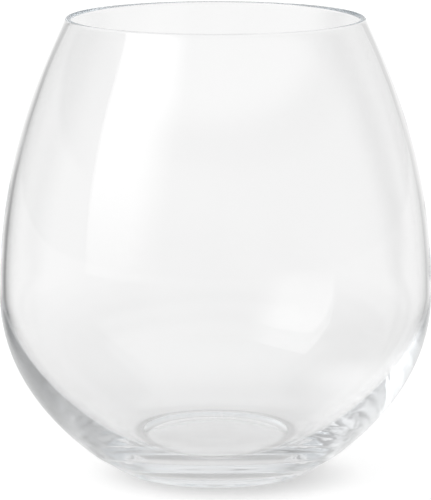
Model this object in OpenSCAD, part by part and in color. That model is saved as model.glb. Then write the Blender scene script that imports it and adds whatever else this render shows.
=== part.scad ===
// Stemless wine glass: one piece of clear glass, turned about +Z.
// The origin is the centre of the standing ring, on the surface that the glass rests on.

/* [Glass] */
// Height from the standing ring to the top of the rim
height = 105; // [95:1:120]
// Outer diameter at the belly, the widest place
belly_d = 99; // [94:1:106]
// Height of the belly above the standing ring
belly_h = 41.8; // [38:0.2:48]

/* [Rim] */
// Outer diameter of the half-round rim
rim_d = 68.5; // [62:0.5:76]
// Thickness of the wall at the rim
rim_wall = 1.3; // [1:0.1:1.8]
// Lean of the wall from the vertical at the rim, in degrees
rim_lean = 21.5; // [14:0.5:26]

/* [Wall] */
// Wall thickness at the belly
belly_wall = 1.25; // [1:0.05:2]
// Height of the inside's widest place above the outside's
belly_in_rise = 0.2; // [0:0.1:4]

/* [Base] */
// Outer diameter at the heel, where the bowl turns under
heel_d = 56.8; // [54:0.2:60]
// Height of the heel above the standing ring
heel_h = 4.5; // [4:0.1:5.5]
// Slope of the bowl above the heel, from the horizontal, in degrees
heel_slope = 39; // [34:1:42]
// Length of the rounding on each side of the heel
heel_round = 1.6; // [0.8:0.2:2.4]
// Slope of the bevel under the heel, from the horizontal, in degrees
bevel_slope = 28; // [22:1:32]
// Outer diameter of the standing ring
ring_d = 40.4; // [38:0.2:44]
// Width of the standing ring, with half of each of its roundings
ring_w = 2; // [1.6:0.1:3]
// Length of the rounding on each side of the standing ring's two edges
ring_round = 0.6; // [0.3:0.1:0.8]
// Height of the hollow under the base at its centre
punt_h = 1.1; // [0.8:0.1:1.8]
// Slope of the hollow at the standing ring, from the horizontal, in degrees
punt_slope = 15; // [8:1:20]

/* [Inside of the base] */
// Thickness of the glass at the centre of the base
floor_t = 4; // [3.5:0.1:7]
// Diameter inside, where the wall turns into the floor
floor_d = 57.6; // [54:0.2:60]
// Height of that turn above the standing ring
floor_turn_h = 10.1; // [9:0.1:11]
// Slope of the inside at that turn, from the horizontal, in degrees
floor_slope = 35; // [34:1:42]

/* [Hidden] */
// Lengths of the curves' handles, as shares of the height that each curve climbs
rim_handle_share = 0.11;
belly_upper_handle_share = 0.54;
belly_lower_handle_share = 0.44;
heel_handle_share = 0.24;
in_belly_lower_handle_share = 0.355;
in_turn_handle_share = 0.237;
// Lengths of the handles of the short curves under the base, as shares of their chords or radii
bevel_handle_share = 0.28;
floor_turn_handle_share = 0.38;
floor_centre_handle_share = 0.6;
punt_handle_share = 0.3;
// Slope of the bevel where it meets the standing ring
ring_slope = 18;
// Straight steps in each curve of the profile
wall_steps = 18;
base_steps = 8;
rim_steps = 12;
rounding_steps = 4;
// Straight steps round the glass
round_steps = 96;

// The rim's half circle, and the direction of the wall under it
rim_r = rim_wall / 2;
rim_centre = [rim_d / 2 - rim_r, height - rim_r];
wall_down = [sin(rim_lean), -cos(rim_lean)];
wall_out = [cos(rim_lean), sin(rim_lean)];
rim_outside = rim_centre + rim_r * wall_out;
rim_inside = rim_centre - rim_r * wall_out;

// The profile's other corners, as [radius, height]
belly_outside = [belly_d / 2, belly_h];
belly_in_h = belly_h + belly_in_rise;
belly_inside = [belly_d / 2 - belly_wall, belly_in_h];
heel = [heel_d / 2, heel_h];
ring_outside = [ring_d / 2, 0];
ring_inside = [ring_d / 2 - ring_w, 0];
punt_centre = [0, punt_h];
floor_turn = [floor_d / 2, floor_turn_h];
floor_centre = [0, punt_h + floor_t];

// Where the roundings of the heel and of the standing ring begin and end
heel_above = heel + heel_round * [cos(heel_slope), sin(heel_slope)];
heel_below = heel - heel_round * [cos(bevel_slope), sin(bevel_slope)];
ring_above = ring_outside + ring_round * [cos(ring_slope), sin(ring_slope)];
flat_outside = ring_outside - [ring_round / 2, 0];
flat_inside = ring_inside + [ring_round / 2, 0];
punt_in = [-cos(punt_slope), sin(punt_slope)];
punt_start = ring_inside + ring_round * punt_in;

// Direction of a slope, pointing out and up
function slope(angle) = [cos(angle), sin(angle)];

// Points of a cubic curve from a to d with the handles b and c, without its first point
function curve(a, b, c, d, steps) = [
    for (i = [1:steps])
        let (t = i / steps, s = 1 - t)
        s ^ 3 * a + 3 * s ^ 2 * t * b + 3 * s * t ^ 2 * c + t ^ 3 * d
];

// Points of an arc about centre, from one angle to another, with both ends
function arc(centre, radius, from, to, steps) = [
    for (i = [0:steps])
        let (angle = from + (to - from) * i / steps)
        centre + radius * [cos(angle), sin(angle)]
];

// Points of a small round corner, from one point of the profile to another, without the first
function rounding(corner, before, after) = curve(
    before,
    before + (corner - before) * 2 / 3,
    after + (corner - after) * 2 / 3,
    after,
    rounding_steps
);

// Curve of the wall from its end at the rim down to the belly
function upper_wall(rim, belly) =
    let (climb = rim.y - belly.y)
    curve(
        rim,
        rim + rim_handle_share * climb * wall_down,
        belly + [0, belly_upper_handle_share * climb],
        belly,
        wall_steps
    );

// Outside of the bowl from the belly down to the heel's rounding
function lower_outside() = curve(
    belly_outside,
    belly_outside - [0, belly_lower_handle_share * belly_h],
    heel_above + heel_handle_share * belly_h * slope(heel_slope),
    heel_above,
    wall_steps
);

// Bevel from the heel's rounding in to the standing ring's
function bevel() =
    let (reach = bevel_handle_share * norm(heel_below - ring_above))
    curve(
        heel_below,
        heel_below - reach * slope(bevel_slope),
        ring_above + reach * slope(ring_slope),
        ring_above,
        base_steps
    );

// The standing ring: an outer rounding, the flat face, and an inner rounding
function standing_ring() = concat(
    rounding(ring_outside, ring_above, flat_outside),
    [flat_inside],
    rounding(ring_inside, flat_inside, punt_start)
);

// Shallow dome under the base, from the standing ring to the axis
function punt() = curve(
    punt_start,
    punt_start + punt_handle_share * punt_start.x * punt_in,
    [punt_handle_share * punt_start.x, punt_h],
    punt_centre,
    base_steps
);

// Floor of the inside, from the axis out to its turn
function floor_inside() = curve(
    floor_centre,
    floor_centre + [floor_centre_handle_share * floor_turn.x, 0],
    floor_turn - floor_turn_handle_share * floor_turn.x * slope(floor_slope),
    floor_turn,
    base_steps
);

// Inside of the bowl from the floor's turn up to the belly
function lower_inside() = curve(
    floor_turn,
    floor_turn + in_turn_handle_share * belly_in_h * slope(floor_slope),
    belly_inside - [0, in_belly_lower_handle_share * belly_in_h],
    belly_inside,
    wall_steps
);

// Points of a curve in the other order, without the last one
function reversed(points) = [for (i = [len(points) - 2:-1:0]) points[i]];

function glass_outline() = concat(
    arc(rim_centre, rim_r, rim_lean + 180, rim_lean, rim_steps),
    upper_wall(rim_outside, belly_outside),
    lower_outside(),
    rounding(heel, heel_above, heel_below),
    bevel(),
    standing_ring(),
    punt(),
    [floor_centre],
    floor_inside(),
    lower_inside(),
    reversed(upper_wall(rim_inside, belly_inside))
);

module glass() {
    color("lightcyan", 0.35)
        rotate_extrude($fn = round_steps)
            polygon(glass_outline());
}

glass();
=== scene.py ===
import math

import bmesh
import bpy
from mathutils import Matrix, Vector


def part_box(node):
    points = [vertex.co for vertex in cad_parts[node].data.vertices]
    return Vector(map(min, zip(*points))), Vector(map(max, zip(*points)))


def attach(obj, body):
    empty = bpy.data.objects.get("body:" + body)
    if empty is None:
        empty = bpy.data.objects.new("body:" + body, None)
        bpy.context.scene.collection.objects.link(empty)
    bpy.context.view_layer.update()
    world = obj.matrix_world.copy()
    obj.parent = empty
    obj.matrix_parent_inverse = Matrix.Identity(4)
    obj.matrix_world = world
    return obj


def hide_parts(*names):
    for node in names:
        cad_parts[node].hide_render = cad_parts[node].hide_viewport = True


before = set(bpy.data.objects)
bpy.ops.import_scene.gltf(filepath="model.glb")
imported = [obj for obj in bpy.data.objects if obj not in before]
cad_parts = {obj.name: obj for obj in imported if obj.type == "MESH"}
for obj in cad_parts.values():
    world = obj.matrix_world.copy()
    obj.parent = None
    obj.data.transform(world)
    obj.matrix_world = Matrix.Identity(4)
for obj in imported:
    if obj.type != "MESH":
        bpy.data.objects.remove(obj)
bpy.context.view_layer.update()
scene = bpy.context.scene
scene.view_settings.view_transform = "Standard"

# Light crosses many faces of clear glass before it leaves, so its path may be a long one.
LONGEST_PATH = 512
scene.cycles.max_bounces = LONGEST_PATH
scene.cycles.transmission_bounces = LONGEST_PATH
scene.cycles.glossy_bounces = LONGEST_PATH


# The camera stands a metre in front of the glass and looks a little down on it, through a long
# lens. That gives the narrow ellipse at the rim and the slightly rounder one at the base.

PHOTO_LONG_SIDE = 500
EYE_DISTANCE = 1.0
EYE_PITCH = math.radians(9.455)
AIM_HEIGHT = 0.05134
FOCAL_PIXELS = 4363.5

camera_data = bpy.data.cameras.new("camera")
camera_data.lens = FOCAL_PIXELS / PHOTO_LONG_SIDE * camera_data.sensor_width
camera = bpy.data.objects.new("camera", camera_data)
scene.collection.objects.link(camera)
backward = Vector((0, -math.cos(EYE_PITCH), math.sin(EYE_PITCH)))
camera.location = Vector((0, 0, AIM_HEIGHT)) + EYE_DISTANCE * backward
camera.rotation_euler = (math.pi / 2 - EYE_PITCH, 0, 0)
scene.camera = camera


# The glass is one piece of clear glass, blown and fire-polished: a rounded rim, a thin wall that
# thickens downwards, and a heavy base that stands on a ring round a shallow hollow. Its profile
# is turned round the axis into one closed skin, inside and out.

MM = 0.001
low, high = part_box("glass")
HEIGHT = high.z - low.z
BELLY_RADIUS = high.x
BELLY_HEIGHT = 41.8 * MM
RIM_RADIUS = 34.25 * MM
RIM_WALL = 1.3 * MM
RIM_LEAN = math.radians(21.5)
BELLY_WALL = 1.25 * MM
INSIDE_BELLY_HEIGHT = 42 * MM
HEEL = Vector((28.4 * MM, 4.5 * MM))
HEEL_ROUND = 1.6 * MM
HEEL_SLOPE = math.radians(39)
BEVEL_SLOPE = math.radians(28)
RING_SLOPE = math.radians(18)
RING_OUTSIDE = Vector((20.2 * MM, 0))
RING_INSIDE = Vector((18.2 * MM, 0))
RING_ROUND = 0.6 * MM
PUNT_SLOPE = math.radians(15)
PUNT_HEIGHT = 1.1 * MM
FLOOR_THICKNESS = 4.0 * MM
FLOOR_TURN = Vector((28.8 * MM, 10.1 * MM))
FLOOR_SLOPE = math.radians(35)

# The handles of the profile's curves: shares of the height that a curve of the wall climbs, and
# shares of the chord or the radius of a curve under or inside the base.
RIM_HANDLE = 0.11
BELLY_UPPER_HANDLE = 0.54
BELLY_LOWER_HANDLE = 0.44
HEEL_HANDLE = 0.24
INSIDE_TURN_HANDLE = 0.237
INSIDE_BELLY_HANDLE = 0.355
BEVEL_HANDLE = 0.28
PUNT_HANDLE = 0.3
FLOOR_CENTRE_HANDLE = 0.6
FLOOR_TURN_HANDLE = 0.38

TURNS = 256
WALL_STEPS = 40
RIM_STEPS = 24
BASE_STEPS = 16
ROUNDING_STEPS = 10


def slope(angle):
    """The direction of a slope, pointing out and up."""
    return Vector((math.cos(angle), math.sin(angle)))


def curve(start, leave, arrive, end, steps=WALL_STEPS):
    """Points of a cubic curve with two handles, without its first point."""
    points = []
    for i in range(1, steps + 1):
        t = i / steps
        s = 1 - t
        near = s ** 3 * start + 3 * s ** 2 * t * leave
        points.append(near + 3 * s * t ** 2 * arrive + t ** 3 * end)
    return points


def arc(centre, radius, first, last):
    """Points of an arc, from one angle to another, with both ends."""
    angles = [first + (last - first) * i / RIM_STEPS for i in range(RIM_STEPS + 1)]
    return [centre + radius * slope(angle) for angle in angles]


def rounding(corner, before, after):
    """Points of a small round corner, from one point of the profile to another."""
    leave = before.lerp(corner, 2 / 3)
    arrive = after.lerp(corner, 2 / 3)
    return curve(before, leave, arrive, after, ROUNDING_STEPS)


down_wall = Vector((math.sin(RIM_LEAN), -math.cos(RIM_LEAN)))
rim_centre = Vector((RIM_RADIUS - RIM_WALL / 2, HEIGHT - RIM_WALL / 2))
rim = arc(rim_centre, RIM_WALL / 2, RIM_LEAN + math.pi, RIM_LEAN)


def wall(top, belly):
    """One face of the wall, from its end at the rim down to the belly."""
    climb = top.y - belly.y
    leave = top + RIM_HANDLE * climb * down_wall
    arrive = belly + Vector((0, BELLY_UPPER_HANDLE * climb))
    return curve(top, leave, arrive, belly)


belly_outside = Vector((BELLY_RADIUS, BELLY_HEIGHT))
belly_inside = Vector((BELLY_RADIUS - BELLY_WALL, INSIDE_BELLY_HEIGHT))
heel_above = HEEL + HEEL_ROUND * slope(HEEL_SLOPE)
heel_below = HEEL - HEEL_ROUND * slope(BEVEL_SLOPE)
outside = wall(rim[-1], belly_outside)
outside += curve(
    belly_outside,
    belly_outside - Vector((0, BELLY_LOWER_HANDLE * BELLY_HEIGHT)),
    heel_above + HEEL_HANDLE * BELLY_HEIGHT * slope(HEEL_SLOPE),
    heel_above,
)
outside += rounding(HEEL, heel_above, heel_below)

ring_above = RING_OUTSIDE + RING_ROUND * slope(RING_SLOPE)
reach = BEVEL_HANDLE * (heel_below - ring_above).length
bevel = curve(
    heel_below,
    heel_below - reach * slope(BEVEL_SLOPE),
    ring_above + reach * slope(RING_SLOPE),
    ring_above,
    BASE_STEPS,
)
up_punt = Vector((-math.cos(PUNT_SLOPE), math.sin(PUNT_SLOPE)))
punt_start = RING_INSIDE + RING_ROUND * up_punt
flat_outside = RING_OUTSIDE - Vector((RING_ROUND / 2, 0))
flat_inside = RING_INSIDE + Vector((RING_ROUND / 2, 0))
ring = rounding(RING_OUTSIDE, ring_above, flat_outside)
ring += [flat_inside] + rounding(RING_INSIDE, flat_inside, punt_start)
punt_reach = PUNT_HANDLE * punt_start.x
punt = curve(
    punt_start,
    punt_start + punt_reach * up_punt,
    Vector((punt_reach, PUNT_HEIGHT)),
    Vector((0, PUNT_HEIGHT)),
    BASE_STEPS,
)

floor_centre = Vector((0, PUNT_HEIGHT + FLOOR_THICKNESS))
inside = curve(
    floor_centre,
    floor_centre + Vector((FLOOR_CENTRE_HANDLE * FLOOR_TURN.x, 0)),
    FLOOR_TURN - FLOOR_TURN_HANDLE * FLOOR_TURN.x * slope(FLOOR_SLOPE),
    FLOOR_TURN,
)
inside += curve(
    FLOOR_TURN,
    FLOOR_TURN + INSIDE_TURN_HANDLE * INSIDE_BELLY_HEIGHT * slope(FLOOR_SLOPE),
    belly_inside - Vector((0, INSIDE_BELLY_HANDLE * INSIDE_BELLY_HEIGHT)),
    belly_inside,
)
inside += list(reversed(wall(rim[0], belly_inside)[:-1]))
profile = rim + outside + bevel + ring + punt + [floor_centre] + inside


def turned(name, points):
    """A closed skin: each point turned round the axis into a circle, or kept if it is on it."""
    mesh = bmesh.new()
    circles = []
    for point in points:
        turns = TURNS if point.x > 0 else 1
        circle = []
        for i in range(turns):
            turn = 2 * math.pi * i / turns
            corner = (point.x * math.cos(turn), point.x * math.sin(turn), point.y)
            circle.append(mesh.verts.new(corner))
        circles.append(circle)
    for upper, lower in zip(circles, circles[1:] + circles[:1]):
        if len(upper) == len(lower) == 1:
            continue
        for i in range(TURNS):
            j = (i + 1) % TURNS
            left = (upper[i % len(upper)], lower[i % len(lower)])
            right = (lower[j % len(lower)], upper[j % len(upper)])
            mesh.faces.new(list(dict.fromkeys(left + right))).smooth = True
    bmesh.ops.recalc_face_normals(mesh, faces=mesh.faces)
    data = bpy.data.meshes.new(name)
    mesh.to_mesh(data)
    mesh.free()
    piece = bpy.data.objects.new(name, data)
    scene.collection.objects.link(piece)
    return piece


glass = turned("clear_glass_tumbler", profile)


class Link:
    """A socket of a shader. Python's operators add Math nodes, and add() adds any other node."""

    def __init__(self, tree, socket=None):
        self.tree = tree
        self.socket = socket

    def add(self, kind, settings=None, **inputs):
        """A new node: its settings first, then the values or links of its sockets."""
        node = self.tree.nodes.new(kind)
        for name, value in (settings or {}).items():
            if name == "stops":
                self.set_stops(node.color_ramp, value)
            else:
                setattr(node, name, value)
        for name, value in inputs.items():
            key = int(name[1:]) if name[0] == "_" else name.replace("_", " ")
            if isinstance(value, Link):
                self.tree.links.new(value.socket, node.inputs[key])
            else:
                node.inputs[key].default_value = value
        return node

    def set_stops(self, tones, stops):
        """A ramp's stops, as pairs of a place and a value, with a smooth curve through them."""
        tones.interpolation = "B_SPLINE"
        while len(tones.elements) < len(stops):
            tones.elements.new(1.0)
        for element, (place, value) in zip(tones.elements, stops):
            element.position = place
            element.color = (value, value, value, 1)

    def out(self, node, name=0):
        return Link(self.tree, node.outputs[name])

    def math(self, operation, *values):
        inputs = {"_%d" % i: value for i, value in enumerate(values)}
        return self.out(self.add("ShaderNodeMath", {"operation": operation}, **inputs))

    def __add__(self, other):
        return self.math("ADD", self, other)

    def __radd__(self, other):
        return self.math("ADD", other, self)

    def __sub__(self, other):
        return self.math("SUBTRACT", self, other)

    def __rsub__(self, other):
        return self.math("SUBTRACT", other, self)

    def __mul__(self, other):
        return self.math("MULTIPLY", self, other)

    def __rmul__(self, other):
        return self.math("MULTIPLY", other, self)

    def __truediv__(self, other):
        return self.math("DIVIDE", self, other)

    def __rtruediv__(self, other):
        return self.math("DIVIDE", other, self)


def material(name):
    """A new material, and a Link to start its nodes from."""
    made = bpy.data.materials.new(name)
    made.use_nodes = True
    made.node_tree.nodes.clear()
    return made, Link(made.node_tree)


def ramp(make, value, start, end):
    """0 at start, 1 at end, and smooth between them."""
    steps = make.add(
        "ShaderNodeMapRange",
        {"interpolation_type": "SMOOTHSTEP"},
        Value=value,
        From_Min=start,
        From_Max=end,
    )
    return make.out(steps)


# The glass's colour shows only where light goes through a good deal of it. Its skin waves a
# little, a few small specks sit in it, and the standing ring is scratched where it wears.
GLASS_TINT = (0.74, 0.79, 0.825, 1)
TINT_DENSITY = 3.5
GLASS_IOR = 1.5
CLEAR = (1, 1, 1, 1)
SPECK = (0.55, 0.56, 0.58, 1)
SPECK_RADIUS = 0.3 * MM
SPECK_CELLS = 60
WAVES = 40
WAVE_STRETCH = 1.8
WAVE_DEPTH = 0.06 * MM
WAVE_ROUGHNESS = 0.4
WEAR_HEIGHT = 0.25 * MM
WEAR = 0.15
WEAR_GRAIN = 900
WEAR_PATCHES = (0.4, 0.65)
clear, make = material("clear glass")
place = make.out(make.add("ShaderNodeTexCoord"), "Object")
stretched = make.out(make.add("ShaderNodeMapping", Vector=place, Scale=(1, 1, WAVE_STRETCH)))
waves = make.add(
    "ShaderNodeTexNoise",
    Vector=stretched,
    Scale=WAVES,
    Detail=1,
    Roughness=WAVE_ROUGHNESS,
)
bump = make.add("ShaderNodeBump", Strength=1, Distance=WAVE_DEPTH, Height=make.out(waves))
cells = make.add("ShaderNodeTexVoronoi", Vector=place, Scale=SPECK_CELLS)
speck = ramp(make, make.out(cells, "Distance") / SPECK_CELLS, SPECK_RADIUS, SPECK_RADIUS / 2)
colour = make.add("ShaderNodeMix", {"data_type": "RGBA"}, _0=speck, _6=CLEAR, _7=SPECK)
grain = make.out(make.add("ShaderNodeTexNoise", Vector=place, Scale=WEAR_GRAIN, Detail=3))
height_above = make.out(make.add("ShaderNodeSeparateXYZ", Vector=place), "Z")
worn = WEAR * ramp(make, height_above, WEAR_HEIGHT, 0) * ramp(make, grain, *WEAR_PATCHES)
shader = make.add(
    "ShaderNodeBsdfPrincipled",
    Base_Color=make.out(colour, 2),
    Roughness=worn,
    Normal=make.out(bump),
    IOR=GLASS_IOR,
    Transmission_Weight=1,
)
body = make.add("ShaderNodeVolumeAbsorption", Color=GLASS_TINT, Density=TINT_DENSITY)
make.add("ShaderNodeOutputMaterial", Surface=make.out(shader), Volume=make.out(body))
glass.data.materials.append(clear)
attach(glass, "root")
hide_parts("glass")


# The floor is a sheet of white paper under the glass. The camera sees it pure white, with the soft
# shade that the glass throws on it and a painted shade round the glass. Where the glass mirrors the
# floor past the sheet, it shows the room's tones.

FLOOR_RADIUS = 6.0
FLOOR_SIDES = 64
FLOOR_DROP = 0.05 * MM
floor_mesh = bmesh.new()
bmesh.ops.create_circle(floor_mesh, cap_ends=True, segments=FLOOR_SIDES, radius=FLOOR_RADIUS)
floor_data = bpy.data.meshes.new("floor")
floor_mesh.to_mesh(floor_data)
floor_mesh.free()
floor = bpy.data.objects.new("floor", floor_data)
scene.collection.objects.link(floor)
floor.location.z = -FLOOR_DROP


def background_seen(make):
    """Masks of rays: the camera's, all that show the background, and those never mirrored."""
    path = make.add("ShaderNodeLightPath")
    camera = make.out(path, "Is Camera Ray")
    glossy = make.out(path, "Is Glossy Ray")
    through = make.out(path, "Is Transmission Ray")
    seen = make.math("MAXIMUM", make.math("MAXIMUM", camera, glossy), through)
    return camera, seen, seen * make.math("LESS_THAN", make.out(path, "Glossy Depth"), 0.5)


def by_bearing(make, right, behind, stops):
    """A value for each bearing round the glass in degrees: 0 behind it, 90 right, 180 in front."""
    bearing = make.math("ARCTAN2", right, behind) / (2 * math.pi) + 0.5
    places = [(degrees / 360 + 0.5, value) for degrees, value in stops]
    return make.out(make.add("ShaderNodeValToRGB", {"stops": places}, Fac=bearing), "Color")


# Two dim bands are mirrored, one on either side of what lies straight behind the glass.
BAND_START = math.radians(9)
BAND_MIDDLE = math.radians(24.5)
BAND_END = math.radians(46)
LEFT_DIM = 0.33
RIGHT_DIM = 0.09


def dim_band(make, right, behind, start_aside, more_dim):
    """How much of the room's tone is lost in the bands. They start aside of the glass's axis."""
    aside = make.math("ABSOLUTE", right) - start_aside
    bearing = make.math("ARCTAN2", aside, behind)
    band = ramp(make, bearing, BAND_START, BAND_MIDDLE) * ramp(make, bearing, BAND_END, BAND_MIDDLE)
    on_right = make.math("GREATER_THAN", right, 0)
    return band * (LEFT_DIM - (LEFT_DIM - RIGHT_DIM) * on_right + more_dim)


# What the glass mirrors is palest on the left and straight behind, and darkest on the right. The
# sheet itself is mirrored near the glass, and past its end the tones take over. On the floor the
# bands start beside the glass and are dimmer near it.
ROOM_TONES = (
    (-180, 0.5), (-155, 0.75), (-135, 0.55), (-110, 0.93), (-85, 1.0),
    (-62, 0.82), (-42, 0.72), (-20, 0.96), (20, 0.97), (42, 0.86),
    (65, 0.75), (90, 0.55), (120, 0.36), (150, 0.52), (180, 0.5),
)
BAND_ASIDE = 0.065
NEAR_DIM = 0.31
SHEET_END = (0.06, 0.16)
# The paper's own grey takes the real shadows, and a glow lifts it: to white for the camera, and a
# little less in a painted shade round a point a little right of and in front of the base.
FLOOR_COLOUR = (0.5, 0.5, 0.5, 1)
WHITE_LIFT = 0.71
PAINTED_SHADE_LIFT = 0.46
PAINTED_SHADE_MIDDLE = (2.5 * MM, -5 * MM, 0)
PAINTED_SHADE_EDGE = (15 * MM, 34 * MM)
# Seen through the glass the paper glows a little less round the base in a painted shade, and more
# under it and to its right in painted light, with a painted dark shadow line where the standing
# ring touches it.
GLASS_LIFT = 0.535
PAINTED_SHADE_ROUND = 0.05
ROUND_EDGE = (0.24, 0.13)
PAINTED_GLOW_UNDER = 0.07
UNDER_EDGE = (50 * MM, 25 * MM)
PAINTED_GLOW_BESIDE = 0.15
BESIDE_START = (20 * MM, 38 * MM)
BESIDE_EDGE = (90 * MM, 55 * MM)
PAINTED_CONTACT_SHADE = 0.2
CONTACT_OUTSIDE = (21.4 * MM, 19.9 * MM)
CONTACT_INSIDE = (16.4 * MM, 17.9 * MM)

paper, make = material("white paper")
camera_ray, seen, straight = background_seen(make)
place = make.out(make.add("ShaderNodeNewGeometry"), "Position")
distance = make.out(make.add("ShaderNodeVectorMath", {"operation": "LENGTH"}, _0=place), "Value")
way = make.add("ShaderNodeSeparateXYZ", Vector=place)
right = make.out(way, "X")
behind = make.out(way, "Y")
tone = by_bearing(make, right, behind, ROOM_TONES)
tone = tone - dim_band(make, right, behind, BAND_ASIDE, NEAR_DIM / (1 + distance))
far = (seen - straight) * ramp(make, distance, *SHEET_END)
lit = make.add("ShaderNodeBsdfDiffuse", Color=FLOOR_COLOUR)
# Painted shadow: a dark ring on the paper under the standing ring.
painted_contact_shade = ramp(make, distance, *CONTACT_OUTSIDE) * ramp(make, distance, *CONTACT_INSIDE)
# Painted shade: the glow seen through the glass is lower within a quarter metre of the base.
painted_shade_round_base = PAINTED_SHADE_ROUND * ramp(make, distance, *ROUND_EDGE)
# Painted light under the base, with the painted shadow of the standing ring taken off it.
painted_glow_and_contact_shade = PAINTED_GLOW_UNDER * ramp(make, distance, *UNDER_EDGE) - PAINTED_CONTACT_SHADE * painted_contact_shade
# Painted light on the paper to the right of the base, where the glass's shadow falls.
painted_glow_beside = ramp(make, right, *BESIDE_START) * ramp(make, distance, *BESIDE_EDGE)
through_glass = GLASS_LIFT - painted_shade_round_base + painted_glow_and_contact_shade + PAINTED_GLOW_BESIDE * painted_glow_beside
# Painted shade: the camera's glow is lower near a point a little right of and in front of the base.
painted_shade_offset = make.add("ShaderNodeVectorMath", {"operation": "DISTANCE"}, _0=place, _1=PAINTED_SHADE_MIDDLE)
outside_painted_shade = ramp(make, make.out(painted_shade_offset, "Value"), *PAINTED_SHADE_EDGE)
lift_with_painted_shade = PAINTED_SHADE_LIFT + (WHITE_LIFT - PAINTED_SHADE_LIFT) * outside_painted_shade
raised = camera_ray * lift_with_painted_shade + (seen - camera_ray) * through_glass
lift = make.add("ShaderNodeEmission", Color=raised)
near_sheet = make.add("ShaderNodeAddShader", _0=make.out(lit), _1=make.out(lift))
far_sheet = make.add("ShaderNodeEmission", Color=tone)
both = make.add("ShaderNodeMixShader", Fac=far, _1=make.out(near_sheet), _2=make.out(far_sheet))
make.add("ShaderNodeOutputMaterial", Surface=make.out(both))
floor.data.materials.append(paper)


# The room is a soft white tent that gives even light, and it is white where it is seen straight
# through the glass. Where the glass mirrors it, it has the floor's tones near the horizon, a dim
# panel behind on the left, a dim gap above them, and a bright light overhead.

ROOM_LIGHT = 0.8
# Heights in the room are sines of the angle above the horizon.
BAND_HEIGHT = (0.12, -0.02)
PANEL_DIM = 0.47
PANEL_BEARINGS = ((-180, 0), (-105, 0), (-90, 1), (-10, 1), (10, 0), (180, 0))
PANEL_BOTTOM = (0.2, 0.25)
PANEL_TOP = (0.42, 0.34)
GAP_DIM = 0.38
GAP_START = (0.33, 0.42)
OVERHEAD_TONE = 1.2
OVERHEAD_START = (0.45, 0.6)
# The light overhead is narrow behind the glass, and is wide in front of it.
OVERHEAD_SIDES = (0.62, 0.38)
NARROW_BEHIND = (-0.2, 0.2)
world = bpy.data.worlds.new("room")
scene.world = world
world.use_nodes = True
world.node_tree.nodes.clear()
make = Link(world.node_tree)
direction = make.out(make.add("ShaderNodeTexCoord"), "Generated")
way = make.add("ShaderNodeSeparateXYZ", Vector=direction)
right = make.out(way, "X")
behind = make.out(way, "Y")
up = make.out(way, "Z")
seen, straight = background_seen(make)[1:]
tone = by_bearing(make, right, behind, ROOM_TONES)
tone = tone - dim_band(make, right, behind, 0, 0) * ramp(make, up, *BAND_HEIGHT)
panel = by_bearing(make, right, behind, PANEL_BEARINGS)
panel = panel * ramp(make, up, *PANEL_BOTTOM) * ramp(make, up, *PANEL_TOP)
gap = ramp(make, up, *GAP_START)
walls = tone * (1 - GAP_DIM * gap) * (1 - PANEL_DIM * panel)
aside = make.math("ABSOLUTE", right) / up * ramp(make, behind, *NARROW_BEHIND)
overhead = ramp(make, up, *OVERHEAD_START) * ramp(make, aside, *OVERHEAD_SIDES)
mirrored = walls + (OVERHEAD_TONE - walls) * overhead
light = straight + ROOM_LIGHT * ((seen - straight) * mirrored + 1 - seen)
sky = make.add("ShaderNodeBackground", Color=light)
make.add("ShaderNodeOutputWorld", Surface=make.out(sky))


# The window is a tall soft light to the left of the camera, which makes the long highlight on the
# bowl. Its one side is crisp, and it fades towards the other side and towards the floor.

WINDOW_BEARING = math.radians(49)
WINDOW_DISTANCE = 1.2
WINDOW_WIDTH = 1.15
WINDOW_TALL = 1.3
WINDOW_HEIGHT = 0.5
WINDOW_AIM_HEIGHT = 0.05
WINDOW_GLOW = 1.5
SIDE_FADE = (1.0, 0.5)
FOOT_FADE = (-0.2, 0.75)
lamp_data = bpy.data.lights.new("window", "AREA")
lamp_data.shape = "RECTANGLE"
lamp_data.size = WINDOW_WIDTH
lamp_data.size_y = WINDOW_TALL
lamp_data.energy = WINDOW_GLOW * math.pi * WINDOW_WIDTH * WINDOW_TALL
lamp_data.use_nodes = True
lamp_data.node_tree.nodes.clear()
make = Link(lamp_data.node_tree)
place = make.out(make.add("ShaderNodeNewGeometry"), "Parametric")
pane = make.add("ShaderNodeSeparateXYZ", Vector=place)
fade = ramp(make, make.out(pane, "X"), *SIDE_FADE) * ramp(make, make.out(pane, "Y"), *FOOT_FADE)
glow = make.add("ShaderNodeEmission", Color=fade)
make.add("ShaderNodeOutputLight", Surface=make.out(glow))
lamp = bpy.data.objects.new("window", lamp_data)
scene.collection.objects.link(lamp)
to_window = Vector((-math.sin(WINDOW_BEARING), -math.cos(WINDOW_BEARING), 0))
lamp.location = WINDOW_DISTANCE * to_window + Vector((0, 0, WINDOW_HEIGHT))
to_glass = Vector((0, 0, WINDOW_AIM_HEIGHT)) - lamp.location
lamp.rotation_euler = to_glass.to_track_quat("-Z", "Y").to_euler()
